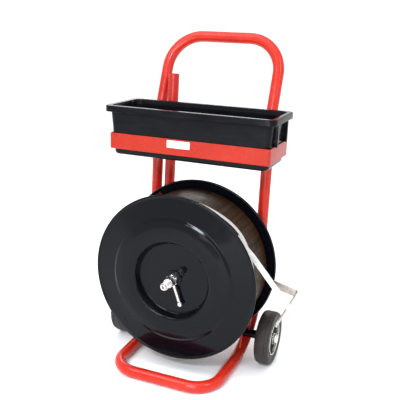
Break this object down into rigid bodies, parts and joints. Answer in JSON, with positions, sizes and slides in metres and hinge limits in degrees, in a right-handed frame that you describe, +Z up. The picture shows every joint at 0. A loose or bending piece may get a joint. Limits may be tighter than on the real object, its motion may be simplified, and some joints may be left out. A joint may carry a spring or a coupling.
{
  "type": "strapping dispenser cart",
  "caption": "Two-wheeled tube-frame cart carrying a quick-release reel of flat strap between dished flanges, with a sprung guide and brake arm and a lift-out tool tray.",
  "frame": {"origin": "middle of the footprint on the floor, without the loose strap end", "axes": "+Z up, -Y to the front where the reel's clamp nut is, +X towards the strap guide arm"},
  "size_m": [0.6583, 0.4801, 0.9773],
  "materials": {
    "frame_red": "gloss red powder coat",
    "flange_black": "high-gloss black enamel",
    "tray_black": "glossy moulded black plastic",
    "tyre": "dull black-brown rubber",
    "hub_plastic": "matte black plastic",
    "zinc": "bright zinc plate",
    "steel": "bright turned steel",
    "strap_dark": "glossy black-brown strapping",
    "strap_pale": "strapping seen against the light",
    "cardboard": "brown card",
    "friction": "woven friction lining",
    "label": "blank white vinyl"
  },
  "bodies": {
    "frame": {"base_loop_tube": "frame_red", "rear_crossbar": "frame_red", "upright_left": "frame_red", "upright_right": "frame_red", "handle_tube": "frame_red", "spindle_beam": "frame_red", "tool_post": "frame_red", "post_stop_disc": "zinc", "post_tab_lower": "frame_red", "post_tab_upper": "frame_red", "axle_plate_left": "frame_red", "axle_plate_right": "frame_red", "tray_band": "frame_red", "blank_label": "label", "strap_tail": "strap_pale", "bearing_housing": "hub_plastic", "bearing_front": "steel", "bearing_rear": "steel", "return_spring": "steel", "housing_screw_1": "zinc", "housing_screw_2": "zinc", "housing_screw_3": "zinc", "housing_screw_4": "zinc", "stub_axle_left": "steel", "axle_spacer_left": "zinc", "axle_washer_left": "zinc", "axle_cap_left": "zinc", "stub_axle_right": "steel", "axle_spacer_right": "zinc", "axle_washer_right": "zinc", "axle_cap_right": "zinc"},
    "reel": {"back_flange": "flange_black", "core_drum": "zinc", "coil_core": "cardboard", "strap_coil": "strap_dark", "spindle_shaft": "steel", "brake_drum": "steel", "shaft_washer": "zinc", "shaft_locknut": "zinc"},
    "clamp_plate": {"front_flange": "flange_black", "clamp_washer": "zinc"},
    "clamp_nut": {"clamp_nut": "zinc", "clamp_lever": "steel", "lever_knob": "zinc"},
    "guide_arm": {"guide_arm_bar": "zinc", "arm_pivot_bolt": "zinc", "arm_pivot_nut": "zinc", "arm_spacer": "zinc", "brake_block": "friction", "brake_shoe": "zinc"},
    "wheel_left": {"tyre_left": "tyre", "wheel_rim_left": "zinc", "wheel_hub_left": "hub_plastic", "wheel_bush_left": "steel"},
    "wheel_right": {"tyre_right": "tyre", "wheel_rim_right": "zinc", "wheel_hub_right": "hub_plastic", "wheel_bush_right": "steel"},
    "tray": {"tray": "tray_black"}
  },
  "joints": [
    {"name": "reel_spin", "type": "hinge", "parent": "frame", "child": "reel", "pos_m": [-0.0215, -0.04335, 0.295], "axis": [0, 1, 0], "continuous": true},
    {"name": "flange_slide", "type": "slide", "parent": "reel", "child": "clamp_plate", "axis": [0, -1, 0], "range_m": [0, 0.04]},
    {"name": "nut_turn", "type": "hinge", "parent": "clamp_plate", "child": "clamp_nut", "pos_m": [-0.0215, -0.16335, 0.295], "axis": [0, 1, 0], "range_deg": [-1800, 0]},
    {"name": "arm_swing", "type": "hinge", "parent": "frame", "child": "guide_arm", "pos_m": [0.1595, 0.07665, 0.256], "axis": [0, 1, 0], "range_deg": [0, 12], "stiffness_Nm_per_rad": 6, "springref_deg": -20.05},
    {"name": "wheel_left_spin", "type": "hinge", "parent": "frame", "child": "wheel_left", "pos_m": [-0.2655, 0.03465, 0.0812], "axis": [1, 0, 0], "continuous": true},
    {"name": "wheel_right_spin", "type": "hinge", "parent": "frame", "child": "wheel_right", "pos_m": [0.2225, 0.03465, 0.0812], "axis": [1, 0, 0], "continuous": true},
    {"name": "tray_lift", "type": "slide", "parent": "frame", "child": "tray", "axis": [0, 0, 1], "range_m": [0, 0.16]}
  ],
  "couplings": [
    {"joint": "nut_turn", "follows": "flange_slide", "rad_per_m": -785.4}
  ]
}
